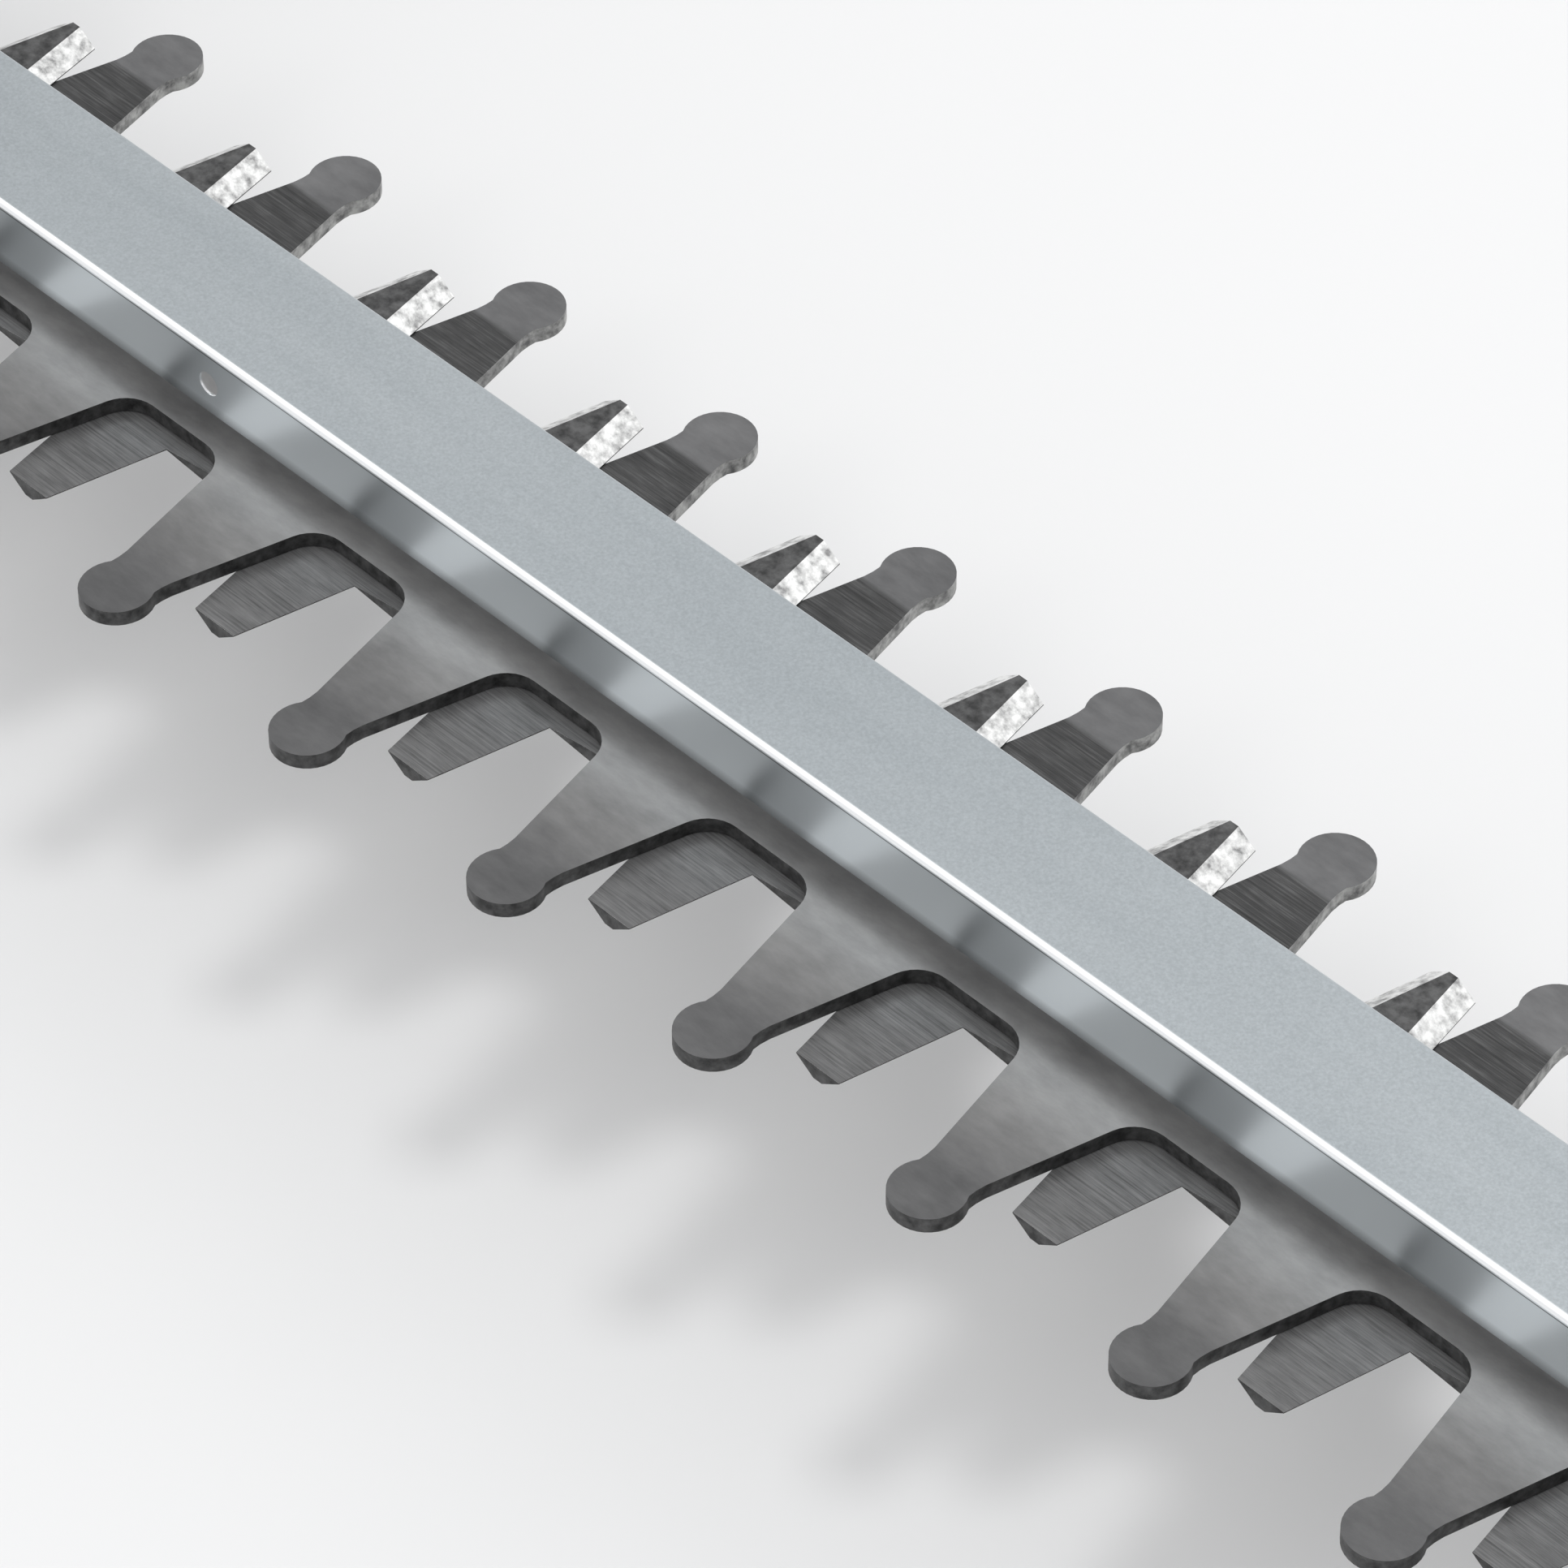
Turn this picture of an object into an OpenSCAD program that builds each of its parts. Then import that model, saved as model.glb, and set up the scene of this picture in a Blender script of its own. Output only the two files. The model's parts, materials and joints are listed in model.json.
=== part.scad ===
// Cordless hedge trimmer: double-sided reciprocating cutter bar on a two-handed battery body.
// Millimetres. +X along the bar to its tip, +Z up, z = 0 is the surface the machine rests on.
// Dimensions along X are counted from the front face of the gear case, then shifted by shift_x.

/* [Node] */
// which node to draw

/* [Blades] */
// tooth pitch along the bar
pitch = 33; // [28:0.5:38]
// number of guard teeth on each blade
teeth = 17; // [9:1:19]
// sheet thickness of each blade
blade_t = 2.0; // [1.6:0.1:3]
// distance of the round guard heads from the bar's centre line
head_y = 34.5; // [30:0.5:40]
// radius of a guard tooth's round head
head_r = 4.45; // [3.5:0.05:6]
// reach of the cutter teeth from the centre line
cutter_y = 29.0; // [25:0.5:33]
// half width of a cutter's tip on its cutting face
cutter_tip = 3.3; // [2.5:0.1:4.5]
// half width of a cutter's flat back at the tip
cutter_flat = 0.7; // [0.4:0.1:1.5]
// half width of the blade's body at the guard teeth
spine = 11.0; // [10:0.2:14]
// corner radius at the roots of the guard teeth
gullet_r = 4.4; // [2:0.1:6]
// travel of each blade to either side of mid stroke
travel = 8.25; // [6:0.25:10]
// distance of both blades from mid stroke in the rest pose
offset_rest = 3.02; // [0:0.01:6]
// gap between sliding faces
gap = 0.1; // [0.05:0.01:0.3]

/* [Bar] */
// height of the blades' contact plane above the resting surface
cut_z = 38; // [34:1:60]
// half width of the guard rail
rail_w = 9.46; // [8:0.1:12]
// rail top above the upper blade
rail_h = 13.0; // [10:0.5:18]
// rail lips above the upper blade
lip_h = 3.47; // [2:0.1:5]
// sheet thickness of the rail
rail_t = 1.5; // [1:0.1:2.5]
// outer bend radius of the rail
bend_r = 0.9; // [0.6:0.1:3]
// end of the rail and of the guide bar
bar_end = 606; // [380:1:700]
// first guide station
guide_x = 98.6; // [90:0.1:120]
// distance between guide stations
guide_step = 132; // [99:1:160]
// radius of a guide bush
bush_r = 4.0; // [3.5:0.1:5]

/* [Drive] */
// throw of the eccentrics
throw = 7.25; // [6:0.05:9]
// radius of an eccentric disc
disc_r = 14; // [13:0.5:16]
// distance of the crank axis behind the case front
crank_x = -48; // [-52:1:-46]
// gear module
gear_m = 1.0; // [0.8:0.1:1.2]
// teeth of the crank gear
gear_z = 60; // [54:1:60]
// teeth of the motor pinion
pinion_z = 12; // [11:1:14]

/* [Body] */
// half width of the motor housing
pod_w = 43; // [43:1:48]
// half width of the handle loop
grip_w = 17; // [15:1:20]
// half width of the foot over the battery
foot_w = 38; // [36:1:42]
// wall thickness of the shells
wall = 2.6; // [2:0.1:3.5]
// height of the front handle's top tube axis
bail_z = 225; // [210:1:240]
// radius of the front handle's tube
bail_r = 12; // [10:0.5:14]
// half width of the hand guard
guard_w = 88; // [80:1:95]

/* [Hidden] */
$fn = 48;

rear_x = -394;
rear_out = 392;
tip_x = 628;
shift_x = -(tip_x + rear_x) / 2;
first_tooth = 42;
blade_up = cut_z + gap / 2;
blade_dn = cut_z - gap / 2;
blade_top = blade_up + blade_t;
blade_bot = blade_dn - blade_t;
guide_z0 = blade_top + gap;
guide_z1 = blade_top + lip_h;
rail_z1 = blade_top + rail_h;
rail_in = rail_z1 - rail_t;
wash_z = blade_bot - gap;
stations = [for (i = [0:3]) guide_x + i * guide_step];
pin_stations = [stations[1], stations[3]];
flank = 0.235;
cutter_slope = 0.2;
root_y = 13.4;
land = 0.15;
runout = 2.2;
cutter_root = cutter_tip + cutter_slope * (cutter_y - root_y);
motor_x = crank_x - gear_m * (gear_z + pinion_z) / 2;
crank_a = -57.05;
slot_x = disc_r + 1.35;
slot_y = disc_r + throw + 0.6;
yoke_y = slot_y + 6;
case_top = 68;
case_len = 114;
steel = [0.46, 0.46, 0.47];
rail_c = [0.74, 0.77, 0.78];
alu = [0.62, 0.63, 0.64];
dark = [0.13, 0.135, 0.14];
shell_c = [0.30, 0.34, 0.36];
pale = [0.72, 0.73, 0.72];
black = [0.06, 0.06, 0.065];
amber = [0.90, 0.48, 0.08];

module place() translate([shift_x, 0, 0]) children();

// ---- plane helpers ----
module box(x0, x1, y0, y1, z0, z1) translate([x0, y0, z0]) cube([x1 - x0, y1 - y0, z1 - z0]);
module post(x, y, z0, z1, r) translate([x, y, z0]) cylinder(r = r, h = z1 - z0);
module rect(x0, x1, y0, y1) translate([x0, y0]) square([x1 - x0, y1 - y0]);
module rrect(x0, x1, y0, y1, r) {
  rect(x0 + r, x1 - r, y0, y1);
  rect(x0, x1, y0 + r, y1 - r);
  for (x = [x0 + r, x1 - r], y = [y0 + r, y1 - r]) translate([x, y]) circle(r);
}
// a plane figure in X, Z swept along Y from y0 to y1
module side(y0, y1) translate([0, y1, 0]) rotate([90, 0, 0]) linear_extrude(y1 - y0) children();
// a plane figure in Y, Z swept along X from x0 to x1
module front(x0, x1) translate([x0, 0, 0]) rotate([90, 0, 90]) linear_extrude(x1 - x0) children();
module flat(z0, z1) translate([0, 0, z0]) linear_extrude(z1 - z0) children();
// corner i of polygon p, rounded with radius r by short chords
function unit(v) = v / norm(v);
function corner(p, i, r) = let (n = len(p), b = p[i], u = unit(p[(i + n - 1) % n] - b),
  w = unit(p[(i + 1) % n] - b), h = acos(u * w) / 2, d = r / tan(h), c = b + unit(u + w) * (r / sin(h)),
  s = b + u * d - c, e = b + w * d - c, a = atan2(s[1], s[0]), q = atan2(e[1], e[0]) - a,
  t = q > 180 ? q - 360 : q < -180 ? q + 360 : q)
  [for (k = [0:5]) c + r * [cos(a + t * k / 5), sin(a + t * k / 5)]];
function rounded(p, r) = [for (i = [0:len(p) - 1]) each (r[i] > 0 ? corner(p, i, r[i]) : [p[i]])];

// ---- blades ----
// drawn with the cutting face at z = 0, the back at blade_t, guard teeth towards -Y
function arc(c, r, a0, a1, n) = [for (k = [0:n]) let (a = a0 + (a1 - a0) * k / n)
  c + r * [cos(a), sin(a)]];
// outline of one guard tooth pointing to +Y, from its left root to its right root
function guard_points() = let (yn = 29.7, wn = 3.86, wr = wn + flank * (yn - spine),
  k = sqrt(1 + flank * flank), xc = wr + gullet_r * k - flank * gullet_r, lean = atan(flank))
  concat(arc([-xc, spine + gullet_r], gullet_r, -90, -lean, 7), [[-wn, yn], [-3.72, 31]],
    arc([0, head_y], head_r, 212.6, -32.6, 24), [[3.72, 31], [wn, yn]],
    arc([xc, spine + gullet_r], gullet_r, 180 + lean, 270, 7));
function guard_outline() = [for (i = [0:teeth - 1], p = guard_points())
  [first_tooth + i * pitch + p[0], -p[1]]];
// outline of all the cutter teeth, from the bar's tip back to the root
function cutter_outline() = [for (i = [teeth - 2:-1:0]) let (x = first_tooth + (i + 0.5) * pitch)
  each [[x + pitch / 2, i == teeth - 2 ? spine : 12.2], [x + cutter_root, root_y],
    [x + cutter_tip, cutter_y], [x - cutter_tip, cutter_y], [x - cutter_root, root_y]]];
// takes off the ground bevels on both sides of a cutter, down to a narrow land at the edge, and
// the wheel's run-out along the root beside it
module bevel_cut() {
  w = cutter_tip - cutter_flat;
  k = (blade_t - land) / w;
  e = 0.02;
  for (m = [0, 1]) mirror([m, 0, 0]) translate([cutter_tip, cutter_y, 0])
    rotate(atan(cutter_slope)) translate([0, 3, 0]) rotate([90, 0, 0])
      linear_extrude(cutter_y - root_y + 4.2) polygon([[e, land - e * k],
        [-w - 1 / k, blade_t + 1], [e, blade_t + 1]]);
  q = (blade_t - land) / runout;
  for (m = [0, 1]) mirror([m, 0, 0]) translate([cutter_root, root_y, 0]) rotate(12)
    front(-2.2, 8) polygon([[e, land - e * q], [-runout - 1 / q, blade_t + 1],
      [e, blade_t + 1]]);
}
module blade() {
  end_x = first_tooth + pitch * (teeth - 0.5) - 1;
  difference() {
    union() {
      flat(0, blade_t) polygon(concat([[crank_x, -spine]], guard_outline(), [[end_x, -spine],
        [end_x, spine]], cutter_outline(), [[first_tooth, spine], [crank_x, spine]]));
      flat(0, blade_t) rrect(crank_x - slot_x - 7, crank_x + slot_x + 7, -yoke_y, yoke_y, 5);
    }
    for (i = [0:teeth - 2]) translate([first_tooth + (i + 0.5) * pitch, 0, 0]) bevel_cut();
    for (x = stations) {
      box(x - travel - 0.6, x + travel + 0.6, -bush_r - 0.08, bush_r + 0.08, -1, blade_t + 1);
      for (m = [-1, 1]) post(x + m * (travel + 0.6), 0, -1, blade_t + 1, bush_r + 0.08);
    }
    flat(-1, blade_t + 1) rrect(crank_x - slot_x, crank_x + slot_x, -slot_y, slot_y, 3);
  }
}
module upper_blade() color(steel) place() translate([offset_rest, 0, blade_up]) blade();
module lower_blade() color(steel) place() translate([-offset_rest, 0, blade_dn])
  rotate([180, 0, 0]) blade();

// ---- bar ----
module rail_shape() difference() {
  union() {
    rect(-rail_w, rail_w, guide_z1, rail_z1 - bend_r);
    rect(-rail_w + bend_r, rail_w - bend_r, guide_z1, rail_z1);
    for (y = [-1, 1]) translate([y * (rail_w - bend_r), rail_z1 - bend_r]) circle(bend_r);
  }
  rect(-rail_w + rail_t, rail_w - rail_t, guide_z1 - 1, rail_in);
}
module guard_rail() color(rail_c) place() difference() {
  front(1, bar_end) rail_shape();
  for (x = [9, 21]) post(x, 0, rail_in - 1, rail_z1 + 1, 2.7);
  for (x = pin_stations) translate([x, -rail_w - 1, blade_top + 7.83]) rotate([-90, 0, 0])
    cylinder(r = 1.6, h = 2 * rail_w + 2);
  post(bar_end - 12, 0, rail_in - 1, rail_z1 + 1, 2.7);
}
module guide_bar() color(alu) place() difference() {
  box(-10, bar_end, -6.8, 6.8, guide_z0, guide_z1);
  for (x = stations) post(x, 0, guide_z0 - 1, guide_z1 + 1, 2.7);
  for (x = [9, 21]) post(x, 0, guide_z0 - 1, guide_z1 + 1, 2.5);
  post(bar_end - 12, 0, guide_z0 - 1, guide_z1 + 1, 2.5);
}
module rail_standoffs() color(steel) place() difference() {
  for (x = stations) post(x, 0, guide_z1, rail_in, 5);
  for (x = stations) post(x, 0, guide_z1 - 1, rail_in - 2.4, 2.5);
  for (x = pin_stations) translate([x, -8, blade_top + 7.83]) rotate([-90, 0, 0])
    cylinder(r = 1.6, h = 16);
}
module rail_pins() color(steel) place() for (x = pin_stations, s = [-1, 1])
  translate([x, 0, blade_top + 7.83]) rotate([-90 * s, 0, 0]) translate([0, 0, 2.8])
    cylinder(r = 1.6, h = rail_w - 2.95);
module guide_bushes() color(alu) place() difference() {
  for (x = stations) post(x, 0, wash_z, guide_z0, bush_r);
  for (x = stations) post(x, 0, wash_z - 1, guide_z0 + 1, 2.6);
}
module slide_washers() color(steel) place() difference() {
  for (x = stations) post(x, 0, wash_z - 1.2, wash_z, 8);
  for (x = stations) post(x, 0, wash_z - 2.2, wash_z + 1, 2.7);
}
module hex_key(z0, z1, r) translate([0, 0, z0]) cylinder(r = r, h = z1 - z0, $fn = 6);
module guide_screws() color(dark) place() for (x = stations) translate([x, 0, 0]) difference() {
  union() {
    post(0, 0, wash_z - 4, wash_z - 1.2, 4.6);
    post(0, 0, wash_z - 2, rail_in - 3, 2.5);
  }
  hex_key(wash_z - 5, wash_z - 2.4, 1.7);
}
module bar_screws() color(dark) place() for (x = [9, 21]) translate([x, 0, 0]) difference() {
  union() {
    post(0, 0, rail_z1, rail_z1 + 2.8, 4.6);
    post(0, 0, guide_z0 + 0.3, rail_z1 + 1, 2.5);
  }
  hex_key(rail_z1 + 1.2, rail_z1 + 4, 1.7);
}
module tip_guard() color(dark) place() difference() {
  union() {
    flat(cut_z - 7, cut_z + 9) difference() {
      union() {
        rrect(bar_end + 1, tip_x, -26, 26, 9);
        rect(bar_end + 1, bar_end + 12, -26, 26);
      }
      for (s = [-1, 1]) translate([bar_end + 1, s * 33]) circle(11);
    }
    flat(cut_z + 8, rail_z1) rrect(bar_end + 1, tip_x - 1, -14, 14, 7);
    box(bar_end - 20, bar_end + 3, -rail_w + rail_t + 0.02, rail_w - rail_t - 0.02, guide_z1 + 0.02,
      rail_in - 0.02);
  }
  post(tip_x - 9, 0, cut_z - 8, rail_z1 + 1, 4);
  post(bar_end - 12, 0, guide_z1 - 1, rail_in + 1, 2.5);
}
module tip_screw() color(dark) place() translate([bar_end - 12, 0, 0]) difference() {
  union() {
    post(0, 0, rail_z1, rail_z1 + 2.4, 4.2);
    post(0, 0, guide_z0 + 0.3, rail_z1 + 1, 2.5);
  }
  hex_key(rail_z1 + 1, rail_z1 + 4, 1.7);
}

// ---- gearbox ----
function inv(a) = tan(a) * 180 / PI - a;
function gear_pts(z, ad, dd, play) = let (pa = 25, rp = gear_m * z / 2, rb = rp * cos(pa),
  ra = rp + gear_m * ad, rr = rp - gear_m * dd, hp = 90 / z - play / rp * 90 / PI + inv(pa),
  rs = [for (k = [0:4]) max(rb, rr) + (ra - max(rb, rr)) * k / 4],
  half = [for (r = rs) [r, hp - inv(acos(min(1, rb / r)))]])
  [for (i = [0:z - 1]) let (a = i * 360 / z) each concat(
    [rr * [cos(a - half[0][1] - 0.4), sin(a - half[0][1] - 0.4)]],
    [for (h = half) h[0] * [cos(a - h[1]), sin(a - h[1])]],
    [for (k = [4:-1:0]) half[k][0] * [cos(a + half[k][1]), sin(a + half[k][1])]],
    [rr * [cos(a + half[0][1] + 0.4), sin(a + half[0][1] + 0.4)]])];

module case_plan(d) rrect(-case_len + d, -d, -42 + d, 42 - d, 13 - d);
module gear_case() color(alu) place() difference() {
  union() {
    flat(cut_z - 12, case_top - 8) case_plan(0);
    flat(case_top - 8, case_top) case_plan(1.5);
    box(-8, 28, -7.9, 7.9, guide_z1 + 0.02, rail_in - 0.02);
  }
  flat(cut_z - 13, cut_z + 23) rrect(-84, -14, -34, 34, 6);
  post(motor_x, 0, cut_z + 4.5, cut_z + 23, 10);
  box(-15, 1, -14.5, 14.5, wash_z - 1.6, guide_z1 + 0.02);
  post(crank_x, 0, cut_z + 22, cut_z + 28, 11);
  post(motor_x, 0, cut_z + 22, case_top + 1, 5);
  for (x = [9, 21]) post(x, 0, guide_z1 - 1, rail_in + 1, 2.5);
  for (x = [-7, -57, -107], s = [-1, 1]) post(x, s * (x == -57 ? 38 : 34), cut_z - 13, cut_z, 1.9);
  for (s = [-1, 1]) post(-10, s * 26, case_top - 12, case_top + 1, 1.9);
  for (s = [-1, 1], z = [50, 54.5]) box(-100, -14, s * 42 - 1, s * 42 + 1, z, z + 2.2);
}
module gear_cover() color(alu) place() difference() {
  flat(14, cut_z - 12) case_plan(1);
  flat(20, cut_z) rrect(-78, -18, -26, 26, 6);
  post(crank_x, 0, 17, 21, 9);
  for (x = [-7, -57, -107], s = [-1, 1]) {
    post(x, s * (x == -57 ? 38 : 34), 13, cut_z, 2.3);
    post(x, s * (x == -57 ? 38 : 34), 13, 17.4, 4.4);
  }
}
module cover_screws() color(dark) place() for (x = [-7, -57, -107], s = [-1, 1])
  translate([x, s * (x == -57 ? 38 : 34), 0]) difference() {
    union() {
      post(0, 0, 14.4, 17.4, 3.8);
      post(0, 0, 17, cut_z - 1, 1.9);
    }
    hex_key(13, 16, 1.5);
  }
module rest_skids() color(black) place() for (s = [-1, 1])
  side(s * 22 - 6, s * 22 + 6) polygon([[-100, 14], [-93, 0], [-21, 0], [-14, 14]]);
module front_seal() color(black) place() box(-13.9, -9, -14.4, 14.4, wash_z - 1.5, wash_z - 0.2);
module crank_shaft() color(steel) place() translate([crank_x, 0, 0]) {
  u = [throw * cos(crank_a), throw * sin(crank_a)];
  post(0, 0, cut_z - 20, cut_z - 2.4, 4);
  post(0, 0, cut_z - 0.2, cut_z + 0.2, 6);
  post(u[0], u[1], cut_z + 0.1, cut_z + 2.6, disc_r);
  post(-u[0], -u[1], cut_z - 2.6, cut_z - 0.1, disc_r);
  post(0, 0, cut_z + 2.5, cut_z + 27.7, 5);
}
module crank_gear() color(steel) place() translate([crank_x, 0, 0]) difference() {
  flat(cut_z + 6, cut_z + 13) polygon(gear_pts(gear_z, 0.95, 1.2, 0.14));
  post(0, 0, cut_z + 5, cut_z + 14, 5);
  flat(cut_z + 10.5, cut_z + 14) difference() {
    circle(26);
    circle(9);
  }
  for (a = [0:60:300]) rotate(a) post(17.5, 0, cut_z + 5, cut_z + 14, 5);
}
module upper_bearing() color(pale) place() difference() {
  post(crank_x, 0, cut_z + 23, cut_z + 28, 11);
  post(crank_x, 0, cut_z + 22, cut_z + 29, 5.04);
}
module lower_bearing() color(pale) place() difference() {
  post(crank_x, 0, 17, 20, 9);
  post(crank_x, 0, 16, 21, 4.04);
}

// ---- motor ----
module motor_can() color(pale) place() translate([motor_x, 0, 0]) difference() {
  union() {
    post(0, 0, case_top, case_top + 58, 23);
    post(0, 0, case_top + 57, case_top + 61, 8);
  }
  post(0, 0, case_top + 2, case_top + 56, 21.5);
  post(0, 0, case_top - 1, case_top + 62, 2.55);
  for (a = [30:60:330]) rotate(a) post(16, 0, case_top + 55, case_top + 59, 3);
}
module motor_magnets() color(dark) place() translate([motor_x, 0, 0]) difference() {
  post(0, 0, case_top + 6, case_top + 40, 21.5);
  post(0, 0, case_top + 5, case_top + 41, 17.6);
  for (s = [-1, 1]) box(-22, 22, s * 21 - 6, s * 21 + 6, case_top + 5, case_top + 41);
}
module rotor_core() color(steel) place() translate([motor_x, 0, 0]) difference() {
  post(0, 0, case_top + 7, case_top + 39, 17);
  post(0, 0, case_top + 6, case_top + 40, 2.5);
  for (a = [0:30:330]) rotate(a) translate([14.5, 0, case_top + 6]) rotate(45)
    translate([-1.6, -1.6, 0]) cube([3.2, 3.2, 34]);
}
module motor_shaft() color(steel) place() post(motor_x, 0, cut_z + 5, case_top + 60, 2.5);
module pinion() color(steel) place() translate([motor_x, 0, 0]) difference() {
  flat(cut_z + 5.5, cut_z + 15) rotate(15) polygon(gear_pts(pinion_z, 0.95, 1.2, 0.14));
  post(0, 0, cut_z + 5, cut_z + 16, 2.5);
}
module cooling_fan() color(black) place() translate([motor_x, 0, 0]) difference() {
  union() {
    post(0, 0, case_top + 41, case_top + 43, 20);
    post(0, 0, case_top + 41, case_top + 50, 6);
    for (a = [0:40:320]) rotate(a) box(5, 19.5, -0.8, 0.8, case_top + 42, case_top + 50);
  }
  post(0, 0, case_top + 40, case_top + 51, 2.5);
}

// ---- body shells ----
pod_p = rounded([[-21, 68], [-30, 106], [-50, 146], [-150, 150], [-160, 120], [-160, 40], [-150, 34],
  [-115, 34], [-115, 68]], [3, 40, 24, 22, 20, 6, 4, 4, 0]);
loop_p = rounded([[-120, 148], [-312, 152], [-356, 140], [-380, 104], [-384, 64], [-290, 64],
  [-286, 34], [-120, 34]], [0, 40, 30, 30, 3, 3, 6, 0]);
hand_p = rounded([[-168, 100], [-180, 120], [-302, 122], [-322, 104], [-300, 74], [-182, 62],
  [-168, 76]], [18, 12, 22, 14, 18, 14, 12]);
foot_p = rounded([[-292, 64], [-295, 70], [-326, 88], [-376, 94], [-386, 82], [-386, 64]],
  [2, 4, 12, 8, 10, 2]);
module trim(p, d) offset(delta = -d) polygon(p);
module pod(d) intersection() {
  side(-pod_w + d, pod_w - d) trim(pod_p, d);
  flat(30, 160) rrect(-162 + d, -20 - d, -pod_w + d, pod_w - d, 24 - d);
  front(-170, 0) rrect(-pod_w + d, pod_w - d, 20, 151 - d, 20 - d);
}
module loop(d) side(-grip_w + d, grip_w - d) difference() {
  trim(loop_p, d);
  offset(delta = d) polygon(hand_p);
}
module foot(d) intersection() {
  side(-foot_w + d, foot_w - d) trim(foot_p, d);
  flat(60, 120) rrect(-388 + d, -284 - d, -foot_w + d, foot_w - d, 12 - d);
}
bosses = [[-38, 78], [-138, 138], [-136, 48], [-262, 48], [-346, 124]];
module shell_body() difference() {
  union() {
    difference() {
      union() {
        pod(0);
        loop(0);
        foot(0);
      }
      pod(wall);
      loop(wall);
      foot(wall);
      box(-113, -30, -36, 36, 66, 72);
    }
    intersection() {
      union() for (b = bosses) side(-pod_w, pod_w) translate(b) circle(4.5);
      union() {
        pod(0.5);
        loop(0.5);
      }
    }
  }
  // motor air slots
  for (i = [0:5]) translate([-70 - i * 9, 0, 0]) box(0, 4, -60, 60, 92 + i * 1.5, 124);
  // trigger mouth, lock button mouth, battery tongue channel
  box(-232, -184, -5.5, 5.5, 112, 130);
  box(-200, -182, -5, 5, 140, 156);
  box(-390, -292, -14.4, 14.4, 60, 70.4);
  box(-390, -306, -17.4, 17.4, 67, 70.4);
  // seats of the trigger's pivot pin
  translate([-191, -14.5, 123.4]) rotate([-90, 0, 0]) cylinder(r = 1.53, h = 29);
  // openings for the front handle's tube ends
  for (s = [-1, 1]) translate([-52, s * 30, 104]) rotate([-90 * s, 0, 0]) cylinder(r = 12.05, h = 20);
  // screw holes
  for (b = bosses) translate([b[0], 0, b[1]]) {
    rotate([90, 0, 0]) translate([0, 0, -14]) cylinder(r = 1.75, h = 15);
    rotate([90, 0, 0]) translate([0, 0, -1]) cylinder(r = 2.2, h = 80);
    rotate([90, 0, 0]) translate([0, 0, 10]) cylinder(r = 4.2, h = 80);
  }
}
module left_shell() color(shell_c) place() intersection() {
  shell_body();
  box(-400, 10, 0, 60, 0, 160);
}
module right_shell() color(shell_c) place() intersection() {
  shell_body();
  box(-400, 10, -60, 0, 0, 160);
}
module shell_screws() color(dark) place() for (b = bosses) translate([b[0], 0, b[1]])
  rotate([90, 0, 0]) {
    translate([0, 0, 10]) cylinder(r = 3.4, h = 2.4);
    translate([0, 0, -13]) cylinder(r = 1.75, h = 23.5);
  }
module grip_pad() color(black) place() side(-15, 15) intersection() {
  difference() {
    offset(delta = 2.4) polygon(loop_p);
    polygon(loop_p);
  }
  polygon([[-214, 140], [-214, 170], [-400, 170], [-400, 100], [-372, 100], [-340, 130]]);
}
module trigger() color(amber) place() difference() {
  side(-5, 5) polygon(rounded([[-187, 127], [-187, 113], [-200, 108.5], [-224, 108], [-229, 112],
    [-227, 124], [-214, 124.5]], [4, 6, 8, 3, 2.5, 2, 3]));
  translate([-191, -6, 123.4]) rotate([-90, 0, 0]) cylinder(r = 1.54, h = 12);
}
module trigger_switch() color(dark) place() {
  box(-240, -206, -7, 7, 131, 143);
  translate([-191, -14.4, 123.4]) rotate([-90, 0, 0]) cylinder(r = 1.5, h = 28.8);
}
module lock_button() color(amber) place() {
  box(-197.5, -188.5, -4.7, 4.7, 145.4, 153);
  for (i = [0:2]) box(-196.6 + i * 2.8, -195 + i * 2.8, -4.7, 4.7, 153, 154);
  box(-199.5, -186.5, -8, 8, 143.4, 145.4);
}
module control_board() color([0.10, 0.30, 0.18]) place() {
  box(-250, -170, -12, 12, 44, 45.6);
  box(-246, -230, -10, 10, 45.6, 52);
  for (x = [-220, -205, -190]) box(x, x + 8, -6, 6, 45.6, 50);
}
module battery_terminal() color(black) place() {
  box(-300, -292, -13, 13, 64, 70.2);
  for (y = [-9, -3, 3, 9]) box(-307.6, -299.9, y - 0.6, y + 0.6, 65, 69.4);
}

// ---- front handle and guard ----
module bail_half(s) {
  bx = -52;
  post(bx, s * 78, 132, bail_z - 38, bail_r);
  translate([bx, s * 50, 132]) rotate([90, 0, 90]) rotate([0, 0, s > 0 ? 270 : 180])
    rotate_extrude(angle = 90) translate([28, 0]) circle(bail_r);
  translate([bx, s * 40, bail_z - 38]) rotate([90, 0, 90]) rotate([0, 0, s > 0 ? 0 : 90])
    rotate_extrude(angle = 90) translate([38, 0]) circle(bail_r);
  translate([bx, s * 32, 104]) rotate([-90 * s, 0, 0]) cylinder(r = bail_r, h = 18);
  translate([bx, 0, bail_z]) rotate([-90 * s, 0, 0]) cylinder(r = bail_r, h = 40);
}
module bail_handle() color(black) place() difference() {
  union() {
    bail_half(1);
    bail_half(-1);
  }
  box(-58, -46, -37.5, 37.5, bail_z - 14, bail_z - 2);
}
module front_switch_bar() color(amber) place() difference() {
  box(-57.5, -46.5, -37, 37, bail_z - 16.5, bail_z - 7);
  for (s = [-1, 1]) translate([-52, s * 37, bail_z - 16.5]) rotate([0, 45, 0])
    translate([-2, -5, -2]) cube([4, 10, 4]);
}
module guard_shape() {
  rrect(-guard_w, guard_w, 84, 176, 26);
  rect(-34, 34, 68, 100);
}
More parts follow.
